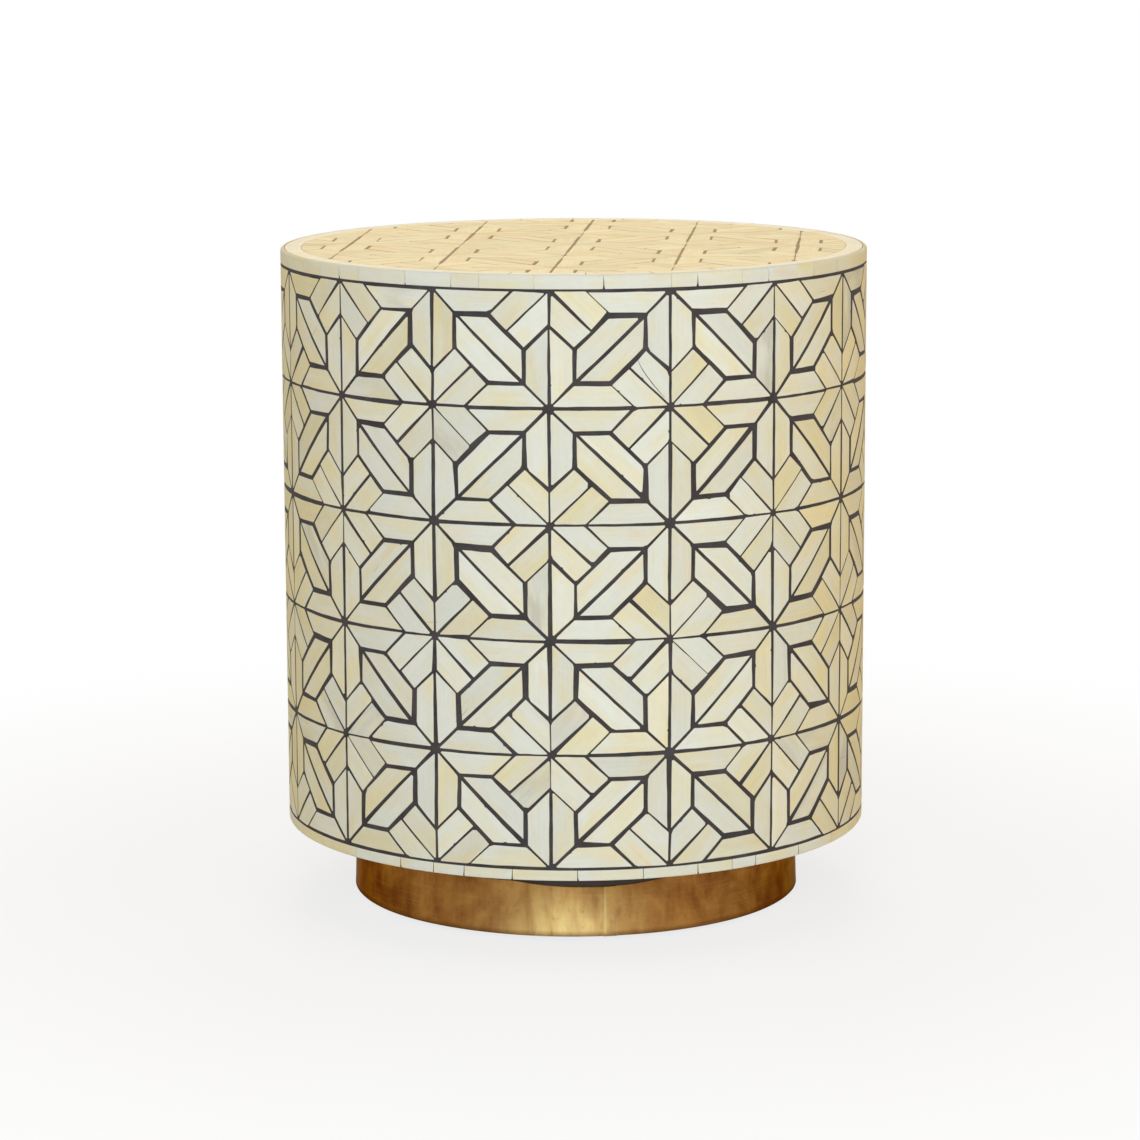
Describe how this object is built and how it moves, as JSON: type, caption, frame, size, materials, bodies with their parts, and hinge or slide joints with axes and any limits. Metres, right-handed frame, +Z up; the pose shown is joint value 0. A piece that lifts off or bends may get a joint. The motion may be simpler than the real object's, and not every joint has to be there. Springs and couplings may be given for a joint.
{
  "type": "side table",
  "caption": "Round drum side table faced with geometric bone inlay in dark resin, on a recessed plinth wrapped in aged brass sheet.",
  "frame": {"origin": "middle of the floor under the table", "axes": "+Z up, -Y to the front, where one column line of the inlay stands"},
  "size_m": [0.4, 0.4, 0.45],
  "materials": {
    "bone": "polished bone, ivory with warm patches",
    "resin": "dark slate resin, sanded flush",
    "timber": "raw plywood and softwood",
    "dark_timber": "board painted near black",
    "brass": "aged, mottled, satin",
    "steel": "zinc plated",
    "felt": "dark felt"
  },
  "bodies": {
    "root": {"side_level_bars": "bone", "side_upright_bars": "bone", "side_diagonal_bars": "bone", "side_star_arms": "bone", "top_level_bars": "bone", "top_upright_bars": "bone", "top_diagonal_bars": "bone", "top_star_arms": "bone", "top_rim_edging": "bone", "bottom_rim_edging": "bone", "top_border": "bone", "side_resin_bed": "resin", "top_resin_bed": "resin", "top_board": "timber", "front_wall": "timber", "back_wall": "timber", "upright_1": "timber", "upright_2": "timber", "upright_3": "timber", "upright_4": "timber", "upright_5": "timber", "upright_6": "timber", "mid_rail_1": "timber", "mid_rail_2": "timber", "mid_rail_3": "timber", "mid_rail_4": "timber", "mid_rail_5": "timber", "mid_rail_6": "timber", "base_board": "dark_timber", "neck_board": "dark_timber", "plinth_upper_board": "dark_timber", "plinth_lower_board": "dark_timber", "brass_band": "brass", "plinth_bolt": "steel", "bolt_nut": "steel", "floor_pad_1": "felt", "floor_pad_2": "felt", "floor_pad_3": "felt", "floor_pad_4": "felt"}
  },
  "joints": []
}
